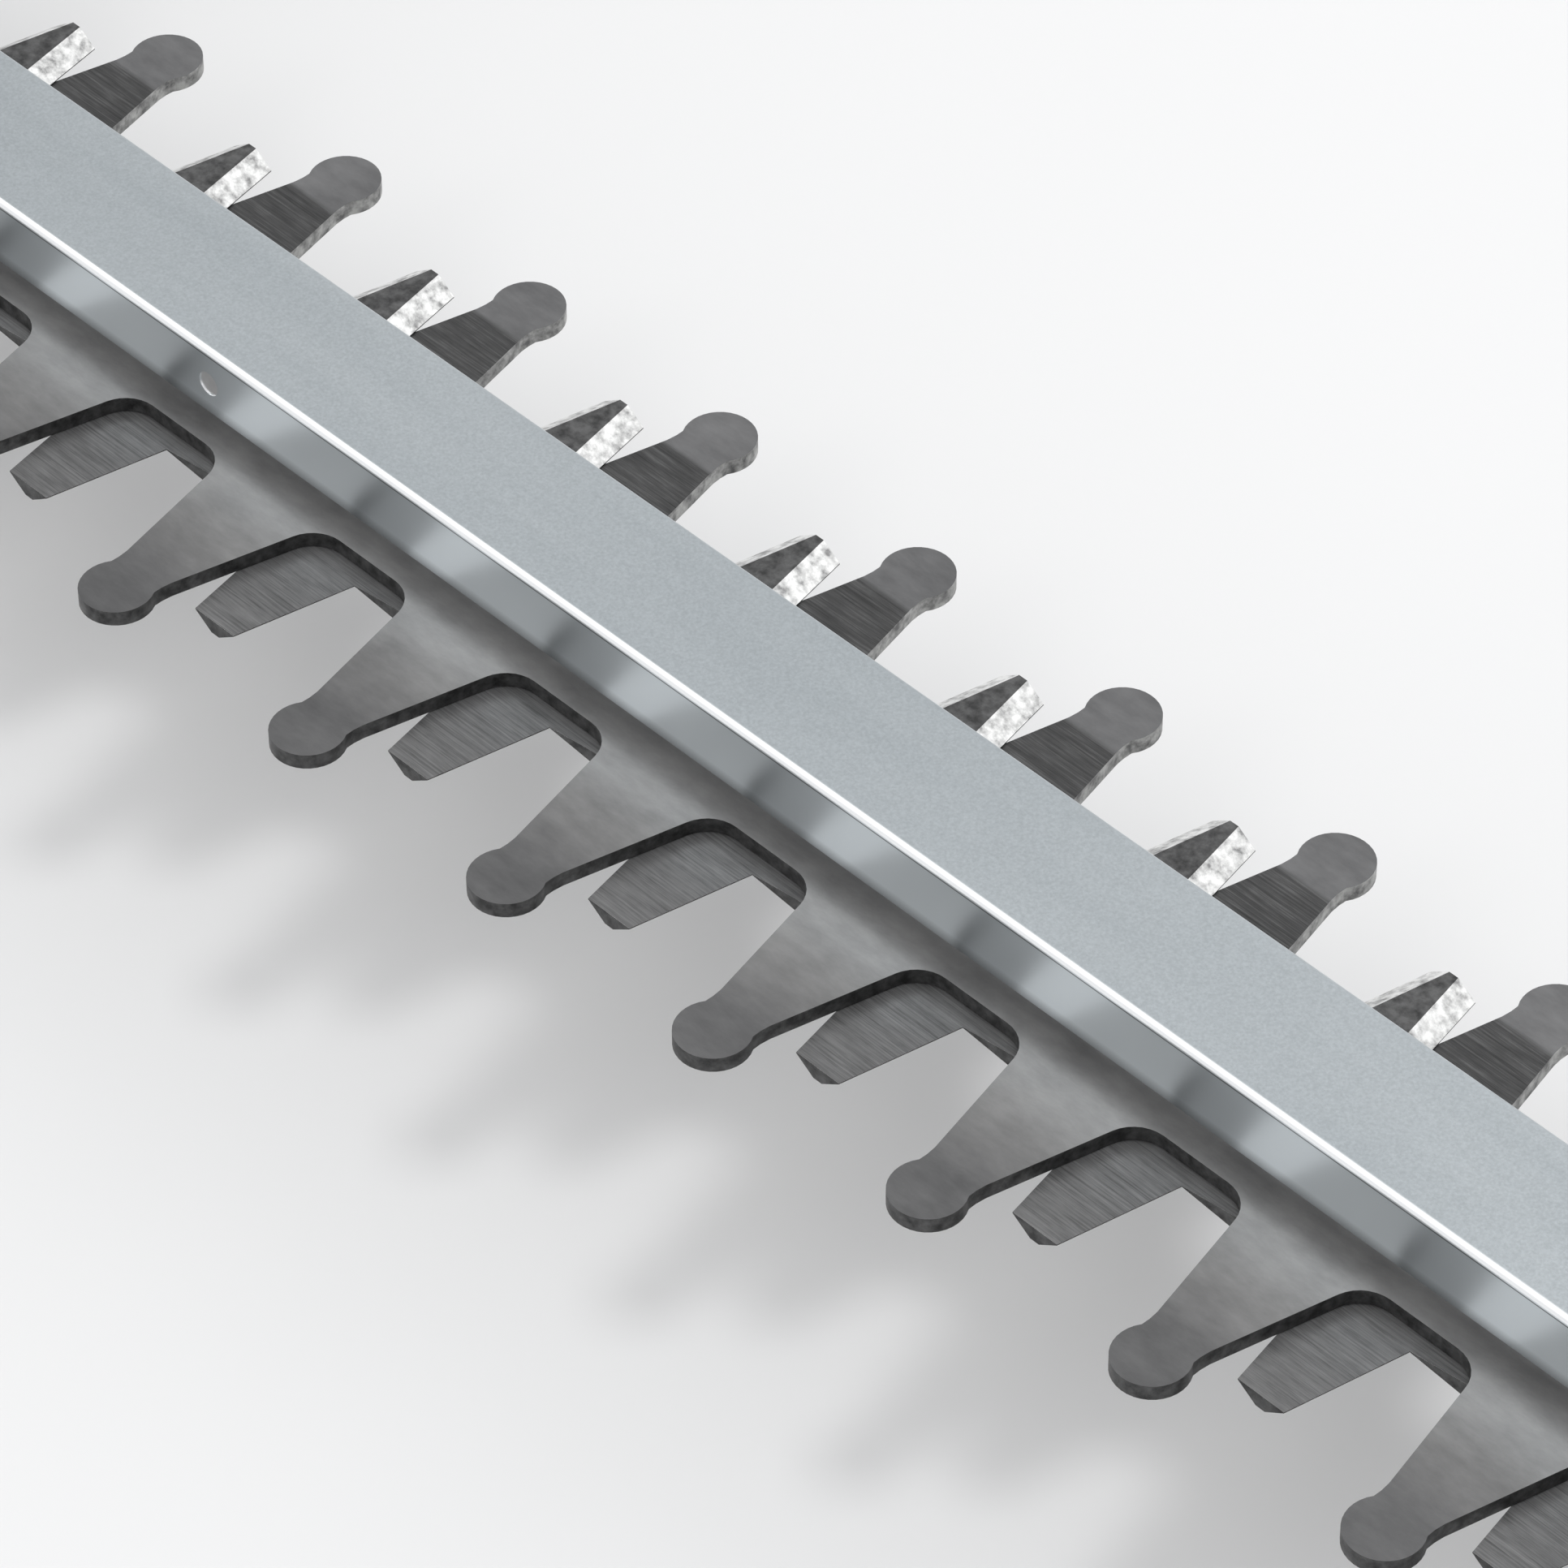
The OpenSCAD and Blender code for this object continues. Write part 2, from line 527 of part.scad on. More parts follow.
module hand_guard() color(dark) place() difference() {
  union() {
    front(-3, 0) guard_shape();
    for (s = [-1, 1]) box(-17, -1, s * 26 - 7, s * 26 + 7, case_top, case_top + 3);
    for (s = [-1, 1]) side(s * 33 - 1.2, s * 33 + 1.2) polygon([[-1, 68], [-1, 96], [-15, 71], [-15, 68]]);
  }
  for (s = [-1, 1]) post(-10, s * 26, case_top - 1, case_top + 5, 2.2);
}
module guard_screws() color(pale) place() for (s = [-1, 1]) translate([-10, s * 26, 0]) difference() {
  union() {
    post(0, 0, case_top + 3, case_top + 5.6, 3.8);
    post(0, 0, case_top - 11, case_top + 4, 1.9);
  }
  hex_key(case_top + 4.2, case_top + 7, 1.5);
}

// ---- battery ----
module pack_shape(d) intersection() {
  side(-36 + d, 36 - d) polygon(rounded([[-292 - d, d], [-292 - d, 63.6 - d], [-rear_out + d, 63.6 - d],
    [-rear_out + d, d]], [8 - d, 2, 5, 8 - d]));
  flat(-1, 80) rrect(-rear_out - 1 + d, -291 - d, -36 + d, 36 - d, 9 - d);
}
module battery_case() color(dark) place() difference() {
  union() {
    pack_shape(0);
    box(-384, -308, -14, 14, 62, 70);
    box(-384, -308, -17, 17, 67.4, 70);
  }
  pack_shape(2.4);
  box(-382, -310, -12, 12, 60, 68);
  box(-394, -388, -13, 13, 45, 57);
}
module battery_cells() color([0.20, 0.42, 0.55]) place()
  for (i = [0:4], j = [0:1]) translate([-304 - i * 18.6, -32.5, 14 + j * 19.5]) rotate([-90, 0, 0])
    cylinder(r = 9, h = 65);
module battery_latch() color(amber) place() {
  box(-394, -389.2, -12.5, 12.5, 45.5, 56.5);
  box(-389.3, -387.6, -15, 15, 44.3, 57.6);
}

upper_blade();
lower_blade();
guard_rail();
guide_bar();
rail_standoffs();
rail_pins();
guide_bushes();
slide_washers();
guide_screws();
bar_screws();
tip_guard();
tip_screw();
gear_case();
gear_cover();
cover_screws();
rest_skids();
front_seal();
crank_shaft();
crank_gear();
upper_bearing();
lower_bearing();
motor_can();
motor_magnets();
rotor_core();
motor_shaft();
pinion();
cooling_fan();
left_shell();
right_shell();
shell_screws();
grip_pad();
trigger();
lock_button();
trigger_switch();
control_board();
battery_terminal();
bail_handle();
front_switch_bar();
hand_guard();
guard_screws();
battery_case();
battery_cells();
battery_latch();
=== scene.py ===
import json
import math

import bmesh
import bpy
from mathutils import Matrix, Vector
from mathutils.bvhtree import BVHTree

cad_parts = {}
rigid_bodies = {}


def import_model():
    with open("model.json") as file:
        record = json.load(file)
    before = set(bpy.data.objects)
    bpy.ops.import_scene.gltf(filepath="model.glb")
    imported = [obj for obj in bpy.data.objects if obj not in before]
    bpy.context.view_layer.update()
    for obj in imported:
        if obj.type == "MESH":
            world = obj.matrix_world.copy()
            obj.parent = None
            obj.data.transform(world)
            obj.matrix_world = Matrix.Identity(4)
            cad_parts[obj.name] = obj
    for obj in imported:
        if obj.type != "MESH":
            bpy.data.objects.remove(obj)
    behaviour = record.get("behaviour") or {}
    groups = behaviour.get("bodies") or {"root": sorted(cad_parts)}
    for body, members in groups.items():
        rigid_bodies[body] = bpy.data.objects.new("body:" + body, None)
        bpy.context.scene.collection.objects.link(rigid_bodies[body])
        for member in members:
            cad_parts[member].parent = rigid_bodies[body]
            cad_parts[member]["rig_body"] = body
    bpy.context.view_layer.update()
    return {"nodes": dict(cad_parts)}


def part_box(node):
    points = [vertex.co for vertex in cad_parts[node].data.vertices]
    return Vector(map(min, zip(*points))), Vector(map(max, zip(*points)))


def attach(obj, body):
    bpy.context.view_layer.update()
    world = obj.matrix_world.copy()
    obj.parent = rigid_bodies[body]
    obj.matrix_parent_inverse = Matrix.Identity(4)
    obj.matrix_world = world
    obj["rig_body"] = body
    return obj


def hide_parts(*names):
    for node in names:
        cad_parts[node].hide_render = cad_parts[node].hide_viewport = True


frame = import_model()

NODES = frame["nodes"]
MM = 0.001

# ---------------------------------------------------------------- node-tree helper


class Graph:
    """Builds one procedural material. A value is a number, a colour, a node or (node, output)."""

    def __init__(self, name):
        self.mat = bpy.data.materials.new(name)
        self.mat.use_nodes = True
        self.tree = self.mat.node_tree
        self.tree.nodes.clear()
        self.coord = self.tree.nodes.new("ShaderNodeTexCoord")

    def add(self, kind, props=None, **inputs):
        node = self.tree.nodes.new(kind)
        for key, value in (props or {}).items():
            setattr(node, key, value)
        for key, value in inputs.items():
            self.set(node, key.replace("_", " "), value)
        return node

    def set(self, node, key, value):
        socket = node.inputs[int(key)] if key.isdigit() else node.inputs[key]
        if isinstance(value, tuple) and isinstance(value[0], bpy.types.Node):
            self.tree.links.new(value[0].outputs[value[1]], socket)
        elif isinstance(value, bpy.types.Node):
            self.tree.links.new(value.outputs[0], socket)
        else:
            socket.default_value = value

    def mapped(self, scale):
        """Object coordinates stretched by scale, in 1/metre."""
        m = self.add("ShaderNodeMapping")
        self.set(m, "Vector", (self.coord, "Object"))
        self.set(m, "Scale", scale)
        return m

    def noise(self, scale, detail=4.0, rough=0.5, stretch=(1, 1, 1)):
        n = self.add("ShaderNodeTexNoise", Scale=1.0, Detail=detail, Roughness=rough)
        self.set(n, "Vector", self.mapped(tuple(scale * s for s in stretch)))
        return n

    def ramp(self, source, stops):
        """Colour by value. stops: (value, grey level or colour)."""
        r = self.add("ShaderNodeValToRGB")
        while len(r.color_ramp.elements) < len(stops):
            r.color_ramp.elements.new(0.5)
        for element, (at, colour) in zip(r.color_ramp.elements, stops):
            element.position = at
            element.color = (*colour, 1) if isinstance(colour, tuple) else (colour, colour, colour, 1)
        self.set(r, "0", source)
        return r

    def math(self, op, a, b=0.0, clamp=False):
        m = self.add("ShaderNodeMath", {"operation": op, "use_clamp": clamp})
        self.set(m, "0", a)
        self.set(m, "1", b)
        return m

    def mix(self, factor, a, b, blend="MIX"):
        m = self.add("ShaderNodeMix", {"data_type": "RGBA", "blend_type": blend})
        for socket, value in (("0", factor), ("6", a), ("7", b)):
            self.set(m, socket, value)
        return m, 2

    def spread(self, source, low, high, to_low, to_high):
        """A linear remap of one value, held at both ends."""
        m = self.add("ShaderNodeMapRange")
        for key, value in (("Value", source), ("From Min", low), ("From Max", high),
                           ("To Min", to_low), ("To Max", to_high)):
            self.set(m, key, value)
        return m

    def axis(self, which, what="Object"):
        """One component of the object coordinate (metres) or of the normal."""
        s = self.add("ShaderNodeSeparateXYZ")
        self.set(s, "Vector", (self.coord, what))
        return s, which

    def finish(self, bump=None, distance=0.1 * MM, strength=0.3, **inputs):
        """The shader itself. bump: height map, distance: its depth in metres."""
        p = self.add("ShaderNodeBsdfPrincipled")
        for key, value in inputs.items():
            self.set(p, key.replace("_", " "), value)
        if bump is not None:
            b = self.add("ShaderNodeBump", Strength=strength, Distance=distance)
            self.set(b, "Height", bump)
            self.set(p, "Normal", b)
        out = self.add("ShaderNodeOutputMaterial")
        self.tree.links.new(p.outputs[0], out.inputs[0])
        return self.mat


# ---------------------------------------------------------------- blade steel

# distances from the bar's centre line, in metres
HEAD_START, HEAD_FULL = 0.0288, 0.0296      # the guard teeth's heads, which are not ground
BLUE_START, BLUE_FULL = 0.0215, 0.0310      # steel that darkens towards the heads
SPINE_LIGHT_FULL, SPINE_LIGHT_END = 0.0125, 0.0225          # painted light: the steel is made brighter beside the rail
# least upward part of the normal on a flat face, and on a ground bevel
FLAT_NORMAL, BEVEL_NORMAL = 0.93, 0.30


def ground_face(g, tone, plain, reach, y, nz):
    """The ground cutting face with its lines along the bar. Returns its colour and its grain."""
    lines = g.noise(1.0, 6, 0.75, (90, 4200, 900))
    patch = g.noise(1.0, 4, 0.6, (220, 700, 300))
    streaks = g.math("ADD", g.math("MULTIPLY", lines, 0.72), g.math("MULTIPLY", patch, 0.28))
    near = g.ramp(streaks, [(0.36, 0.085), (0.50, 0.155), (0.66, 0.235)])
    far = g.ramp(streaks, [(0.36, 0.026), (0.52, 0.062), (0.66, 0.13)])
    far_head = g.ramp(tone, [(0.34, (0.100, 0.100, 0.102)), (0.66, (0.185, 0.185, 0.187))])
    far_side = g.math("GREATER_THAN", y, 0.0)
    head = g.spread(reach, HEAD_START, HEAD_FULL, 0.0, 1.0)
    face = g.math("MULTIPLY", g.math("GREATER_THAN", nz, 0.5), g.math("SUBTRACT", 1.0, head))
    colour = g.mix(face, g.mix(far_side, plain, far_head), g.mix(far_side, near, far))
    return colour, g.math("MULTIPLY", face, streaks)


def back_face(g, tone, plain, mottle, reach, y):
    """The back of the blade, with painted light beside the rail and dark at the heads; cutters are
    speckled.
    """
    painted_light = g.ramp(tone, [(0.34, (0.25, 0.249, 0.248)), (0.66, (0.40, 0.398, 0.395))])
    blue = g.ramp(tone, [(0.36, (0.066, 0.066, 0.068)), (0.64, (0.112, 0.112, 0.114))])
    speckle = g.ramp(mottle, [(0.35, 0.036), (0.65, 0.125)])
    far_side = g.math("GREATER_THAN", y, 0.0)
    # painted light: the steel beside the rail is brighter than the plain steel, fading out towards the
    # heads
    spine = g.mix(g.spread(reach, SPINE_LIGHT_FULL, SPINE_LIGHT_END, 0.85, 0.0), plain, painted_light)
    blued = g.spread(reach, BLUE_START, BLUE_FULL, 0.0, 1.0)
    guard_side = g.mix(g.math("MULTIPLY", blued, 0.8), spine, blue)
    return g.mix(far_side, guard_side, speckle), g.math("MULTIPLY", far_side, mottle)


def blade_material(name, ground_up):
    """Blade steel. ground_up: the top face is the ground cutting face and the cutters are near."""
    g = Graph(name)
    cloud = g.noise(70, 5, 0.6)
    fine = g.noise(2600, 2, 0.5)
    mottle = g.noise(620, 6, 0.62)
    stain = g.noise(1.0, 7, 0.68, (160, 420, 160))
    tone = g.math("ADD", g.math("MULTIPLY", cloud, 0.5), g.math("MULTIPLY", stain, 0.5))
    plain = g.ramp(tone, [(0.34, (0.165, 0.164, 0.163)), (0.66, (0.275, 0.273, 0.270))])
    nz = g.axis("Z", "Normal")
    y = g.axis("Y")
    reach = g.math("ABSOLUTE", y)
    if ground_up:
        colour, grain = ground_face(g, tone, plain, reach, y, nz)
    else:
        colour, grain = back_face(g, tone, plain, mottle, reach, y)

    upward = g.math("ABSOLUTE", nz)
    flat = g.math("GREATER_THAN", upward, FLAT_NORMAL)
    flat_or_bevel = g.math("GREATER_THAN", upward, BEVEL_NORMAL)
    cutters = g.math("LESS_THAN" if ground_up else "GREATER_THAN", y, 0.0)
    bevel = g.math("MULTIPLY", g.math("SUBTRACT", flat_or_bevel, flat, True), cutters)
    bright = g.ramp(mottle, [(0.32, 0.22), (0.45, (0.52, 0.52, 0.515)), (0.60, (0.80, 0.80, 0.79))])
    colour = g.mix(bevel, colour, bright)

    wall = g.math("SUBTRACT", 1.0, flat_or_bevel, True)
    cut = g.ramp(mottle, [(0.35, 0.018), (0.70, 0.095)])
    if ground_up:
        worn = g.ramp(mottle, [(0.35, 0.10), (0.65, (0.42, 0.42, 0.41))])
        cut = g.mix(g.math("GREATER_THAN", y, 0.0), cut, worn)
    colour = g.mix(wall, colour, cut)

    height = g.math("ADD", g.math("MULTIPLY", fine, 0.3), grain)
    height = g.math("ADD", height, g.math("MULTIPLY", bevel, mottle))
    return g.finish(Base_Color=colour, Metallic=0.55, Roughness=g.spread(cloud, 0.3, 0.7, 0.42, 0.52),
                    bump=height, distance=0.04 * MM, strength=0.35)


# ---------------------------------------------------------------- the other materials

RAIL_LOW, RAIL_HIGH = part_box("guard_rail")
CREASE_DROP = 0.99 * MM     # from the rail's top down to the thin painted shade line under its bend
CREASE_HALF = 0.04 * MM
CREASE_FADE = 0.12 * MM
LIP_SHADE_START = 0.08 * MM       # painted shade: the rail's walls darken towards their lower edges
LIP_SHADE_END = 1.58 * MM


def rail_material():
    """Satin zinc top with a very fine grain; the walls are smoother and mirror the teeth. A painted
    highlight runs along the near bend; painted shade lies in a thin line under the bend and towards the
    walls' lower edges.
    """
    g = Graph("rail_steel")
    grain = g.noise(2800, 3, 0.6)
    cloud = g.noise(1.0, 4, 0.55, (9, 60, 60))
    roll = g.noise(1.0, 5, 0.6, (8, 900, 900))
    nz = g.axis("Z", "Normal")
    z = g.axis("Z")
    top = g.spread(nz, 0.55, 0.95, 0.0, 1.0)
    zinc = g.ramp(cloud, [(0.3, (0.445, 0.483, 0.505)), (0.7, (0.535, 0.572, 0.592))])
    speck = g.ramp(grain, [(0.3, 0.82), (0.7, 1.0)])
    colour = g.mix(top, g.mix(top, (0.60, 0.645, 0.67, 1), zinc), speck, "MULTIPLY")

    # painted highlight: a near-white line painted along the rail's bend, on the near side only
    near_side = g.math("LESS_THAN", g.axis("Y"), 0.0)
    bend = g.math("MULTIPLY", g.spread(nz, 0.10, 0.30, 0.0, 1.0), g.spread(nz, 0.99, 0.93, 0.0, 1.0))
    painted_light = g.mix(g.math("MULTIPLY", bend, near_side), colour, (0.93, 0.94, 0.95, 1))
    # painted shade: a thin dark line under the bend
    from_crease = g.math("ABSOLUTE", g.math("SUBTRACT", z, RAIL_HIGH.z - CREASE_DROP))
    crease_shade = g.spread(from_crease, CREASE_HALF, CREASE_FADE, 0.25, 1.0)
    # painted shade: darker towards the walls' lower edges
    lip_shade = g.spread(z, RAIL_LOW.z + LIP_SHADE_START, RAIL_LOW.z + LIP_SHADE_END, 0.50, 1.0)
    # the painted shade under the bend and towards the lower edges darkens the colour
    colour = g.mix(1.0, painted_light, g.math("MULTIPLY", crease_shade, lip_shade), "MULTIPLY")

    height = g.math("ADD", g.math("MULTIPLY", grain, top), g.math("MULTIPLY", roll, 0.5))
    return g.finish(Base_Color=colour, Metallic=0.92, Roughness=g.spread(top, 0.0, 1.0, 0.29, 0.42),
                    bump=height, distance=0.02 * MM, strength=0.3)


def metal(name, dark, light, rough=0.35, scale=220, grain=2500, strength=0.25, metallic=1.0):
    """Clouded metal with a fine grain."""
    g = Graph(name)
    cloud = g.noise(scale, 4, 0.6)
    fine = g.noise(grain, 3, 0.6)
    colour = g.ramp(cloud, [(0.3, dark), (0.7, light)])
    return g.finish(Base_Color=colour, Metallic=metallic, bump=fine, distance=0.05 * MM,
                    Roughness=g.spread(cloud, 0.0, 1.0, rough - 0.08, rough + 0.08),
                    strength=strength)


def plastic(name, dark, light, rough=0.5, grain=1400, strength=0.35):
    """Moulded plastic or rubber with a pebbled skin."""
    g = Graph(name)
    pebble = g.add("ShaderNodeTexVoronoi", {"feature": "F1"}, Scale=1.0)
    g.set(pebble, "Vector", g.mapped((grain, grain, grain)))
    cloud = g.noise(25, 5, 0.6)
    colour = g.ramp(cloud, [(0.3, dark), (0.7, light)])
    return g.finish(Base_Color=colour, Roughness=g.spread(cloud, 0.0, 1.0, rough - 0.06, rough + 0.06),
                    bump=(pebble, "Distance"), distance=0.12 * MM, strength=strength)


def floor_material():
    """Matt pale studio floor."""
    g = Graph("studio_floor")
    cloud = g.noise(3, 3, 0.5)
    return g.finish(Base_Color=g.ramp(cloud, [(0.3, 0.73), (0.7, 0.75)]), Roughness=0.75)


MATERIALS = {
    "upper_steel": blade_material("upper_steel", False),
    "lower_steel": blade_material("lower_steel", True),
    "rail": rail_material(),
    "machined": metal("machined_steel", (0.42, 0.42, 0.43), (0.58, 0.58, 0.59), 0.30),
    "pin": metal("pin_steel", (0.72, 0.72, 0.72), (0.86, 0.86, 0.86), 0.30),
    "bronze": metal("bush_bronze", (0.42, 0.28, 0.13), (0.58, 0.40, 0.20), 0.32),
    "black_screw": metal("black_screw", (0.02, 0.02, 0.021), (0.045, 0.045, 0.047), 0.42),
    "cast": metal("cast_alloy", (0.34, 0.35, 0.36), (0.46, 0.47, 0.48), 0.46, 60, 1100, 0.6),
    "dark": plastic("dark_plastic", (0.018, 0.019, 0.021), (0.032, 0.033, 0.036), 0.46),
    "shell": plastic("shell_plastic", (0.060, 0.078, 0.088), (0.082, 0.104, 0.116), 0.42),
    "rubber": plastic("soft_rubber", (0.011, 0.011, 0.012), (0.022, 0.022, 0.023), 0.72, 900, 0.6),
    "amber": plastic("amber_plastic", (0.72, 0.25, 0.015), (0.85, 0.33, 0.03), 0.34, 2200, 0.15),
    "zinc": metal("motor_steel", (0.44, 0.45, 0.46), (0.60, 0.61, 0.61), 0.34),
    "magnet": metal("magnet", (0.06, 0.06, 0.065), (0.10, 0.10, 0.105), 0.6, metallic=0.3),
    "board": plastic("circuit_board", (0.01, 0.09, 0.04), (0.02, 0.14, 0.06), 0.35, 3000, 0.1),
    "sleeve": plastic("cell_sleeve", (0.03, 0.13, 0.24), (0.05, 0.19, 0.32), 0.3, 3000, 0.1),
}

# ---------------------------------------------------------------- the CAD nodes

FINISH = {
    "upper_steel": ["upper_blade"],
    "lower_steel": ["lower_blade"],
    "rail": ["guard_rail"],
    "machined": ["guide_bar", "rail_standoffs", "slide_washers", "crank_shaft", "crank_gear",
                 "motor_shaft", "pinion", "upper_bearing", "lower_bearing", "guard_screws"],
    "pin": ["rail_pins"],
    "bronze": ["guide_bushes"],
    "black_screw": ["guide_screws", "bar_screws", "tip_screw", "cover_screws", "shell_screws"],
    "cast": ["gear_case", "gear_cover"],
    "dark": ["tip_guard", "hand_guard", "battery_case", "trigger_switch", "battery_terminal",
             "cooling_fan"],
    "shell": ["left_shell", "right_shell"],
    "rubber": ["rest_skids", "grip_pad", "front_seal", "bail_handle"],
    "amber": ["trigger", "lock_button", "front_switch_bar", "battery_latch"],
    "zinc": ["motor_can", "rotor_core"],
    "magnet": ["motor_magnets"],
    "board": ["control_board"],
    "sleeve": ["battery_cells"],
}

# edge radius of the CAD nodes that show, in mm
EDGE = {"upper_blade": 0.10, "lower_blade": 0.08, "guard_rail": 0.25, "gear_case": 0.6,
        "gear_cover": 1.0, "tip_guard": 1.6, "hand_guard": 1.2, "rest_skids": 1.6,
        "battery_case": 1.2, "grip_pad": 0.8, "trigger": 1.4, "lock_button": 0.5,
        "front_switch_bar": 1.6, "battery_latch": 0.6, "bail_handle": 0.8, "left_shell": 0.9,
        "right_shell": 0.9}
# nodes that get a black slot where their triangles are joined
KEEP_TRIANGLES = {"gear_case"}
WELD = 0.002 * MM
SAME_FACE = math.radians(0.6)
SHARP_EDGE = math.radians(28)


def refined(node, width):
    """A cleaned copy of a CAD node with real rounded edges, in place of the node."""
    source = NODES[node]
    mesh = bpy.data.meshes.new(node + "_look")
    bm = bmesh.new()
    bm.from_mesh(source.data)
    bmesh.ops.remove_doubles(bm, verts=bm.verts, dist=WELD)
    if node not in KEEP_TRIANGLES:
        bmesh.ops.dissolve_limit(bm, angle_limit=SAME_FACE, verts=bm.verts, edges=bm.edges)
    bm.to_mesh(mesh)
    bm.free()
    obj = bpy.data.objects.new(node + "_look", mesh)
    bpy.context.scene.collection.objects.link(obj)
    for p in mesh.polygons:
        p.use_smooth = True
    bevel = obj.modifiers.new("edges", "BEVEL")
    bevel.width = width * MM
    bevel.segments = 2
    bevel.limit_method = "ANGLE"
    bevel.angle_limit = SHARP_EDGE
    bevel.harden_normals = True
    bevel.use_clamp_overlap = True
    bevel.miter_outer = "MITER_ARC"
    weighted = obj.modifiers.new("normals", "WEIGHTED_NORMAL")
    weighted.keep_sharp = True
    weighted.weight = 60
    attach(obj, source["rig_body"])
    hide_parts(node)
    return obj


for finish, members in FINISH.items():
    for node in members:
        obj = refined(node, EDGE[node]) if node in EDGE else NODES[node]
        obj.data.materials.clear()
        obj.data.materials.append(MATERIALS[finish])

# ---------------------------------------------------------------- moulded details


ALONG, ACROSS, UPWARD = (1, 0, 0), (0, 1, 0), (0, 0, 1)


def detail(name, bm, finish, slot, body="machine"):
    """Makes an object of bm, on a body."""
    bmesh.ops.recalc_face_normals(bm, faces=bm.faces)
    mesh = bpy.data.meshes.new(name)
    bm.to_mesh(mesh)
    bm.free()
    for p in mesh.polygons:
        p.use_smooth = True
    mesh.materials.append(MATERIALS[finish])
    obj = bpy.data.objects.new(name, mesh)
    bpy.context.scene.collection.objects.link(obj)
    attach(obj, body)


def loft(bm, rings):
    """Faces between closed rings of vertices, and over both ends."""
    for a, b in zip(rings, rings[1:]):
        for i in range(len(a)):
            j = (i + 1) % len(a)
            bm.faces.new((a[i], b[i], b[j], a[j]))
    bm.faces.new(rings[0])
    bm.faces.new(list(reversed(rings[-1])))


# cross section of a low rounded bar, as parts of its width and its height
BAR_SECTION = [(-0.5, -0.6), (-0.5, 0.35), (-0.32, 0.85), (0, 1.0), (0.32, 0.85), (0.5, 0.35),
               (0.5, -0.6)]
# where a bar's rings lie along its length, and how large they are
BAR_RINGS = ((-0.5, 0.45), (-0.492, 0.8), (-0.47, 1.0), (0.47, 1.0), (0.492, 0.8), (0.5, 0.45))


def bars(name, places, size, finish, slot, body="machine"):
    """Low rounded bars. places: (centre, along, up); size: length, width, height above the place."""
    length, width, height = size
    bm = bmesh.new()
    for centre, along, up in places:
        centre, along, up = Vector(centre), Vector(along).normalized(), Vector(up).normalized()
        side = up.cross(along)
        rings = []
        for t, scale in BAR_RINGS:
            rings.append([bm.verts.new(centre + along * (t * length) + side * (u * width * scale)
                                       + up * (v * height * (scale if v > 0 else 1)))
                          for u, v in BAR_SECTION])
        loft(bm, rings)
    detail(name, bm, finish, slot, body)


def lathe(name, base, axis, profile, finish, slot, steps=48):
    """A turned ring stack round axis. profile: (distance along the axis, radius), metres."""
    axis = Vector(axis).normalized()
    u = axis.orthogonal().normalized()
    v = axis.cross(u)
    turns = [2 * math.pi * i / steps for i in range(steps)]
    bm = bmesh.new()
    loft(bm, [[bm.verts.new(Vector(base) + axis * along + (u * math.cos(a) + v * math.sin(a)) * radius)
               for a in turns] for along, radius in profile])
    detail(name, bm, finish, slot)


def caster(node):
    """A function that casts a ray at one CAD node."""
    mesh = NODES[node].data
    tree = BVHTree.FromPolygons([v.co.copy() for v in mesh.vertices],
                                [tuple(p.vertices) for p in mesh.polygons])
    return lambda start, towards: tree.ray_cast(Vector(start), Vector(towards).normalized())


# ribs across the grip pad, on its outer surface: along its top, then round its rear bend
GRIP_RIB = (22.5 * MM, 1.5 * MM, 0.9 * MM)         # length, width, height
GRIP_STEP = 3.4 * MM
GRIP_LEAST_STEP = 3.3 * MM
GRIP_MARGIN = 5 * MM        # from the pad's front end to the first rib
GRIP_TOP_END = 50 * MM      # from the pad's rear end to where its top starts to bend
GRIP_BOTTOM = 4 * MM        # from the pad's lower end to the last rib
BEND_CENTRE = (55 * MM, 10 * MM)    # from the pad's rear end, and above its lower end
BEND_STEP = 0.055           # radians between the rays round the bend
ABOVE, OUTSIDE = 20 * MM, 200 * MM  # where the rays start


def grip_places():
    low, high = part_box("grip_pad")
    cast = caster("grip_pad")
    places = []
    x = high.x - GRIP_MARGIN
    while x > low.x + GRIP_TOP_END:
        hit, normal, _, _ = cast((x, 0.0, high.z + ABOVE), (0, 0, -1))
        if hit is not None:
            places.append((hit, ACROSS, normal))
        x -= GRIP_STEP
    centre = Vector((low.x + BEND_CENTRE[0], 0, low.z + BEND_CENTRE[1]))
    start = places[-1][0] - centre
    angle = math.atan2(start.z, start.x)
    while True:
        angle += BEND_STEP
        out = Vector((math.cos(angle), 0, math.sin(angle)))
        hit, normal, _, _ = cast(centre + out * OUTSIDE, -out)
        if hit is None or hit.z < low.z + GRIP_BOTTOM:
            return places
        if (hit - places[-1][0]).length >= GRIP_LEAST_STEP:
            places.append((hit, ACROSS, normal))


bars("grip_ribs", grip_places(), GRIP_RIB, "rubber", "soft_rubber")

# ring ribs on both legs of the front handle
TUBE = 12 * MM
RINGS = 13
RING_START = 1 * MM
RING_STEP = 4.6 * MM
RING_FLANK, RING_FLAT = 0.6 * MM, 1.4 * MM
RING_LOW, RING_HIGH = TUBE + 0.1 * MM, TUBE + 0.8 * MM
RING_SUNK = TUBE - 0.4 * MM
RINGS_FROM = 126 * MM       # height of the lowest ring
RINGS_LENGTH = 61.5 * MM

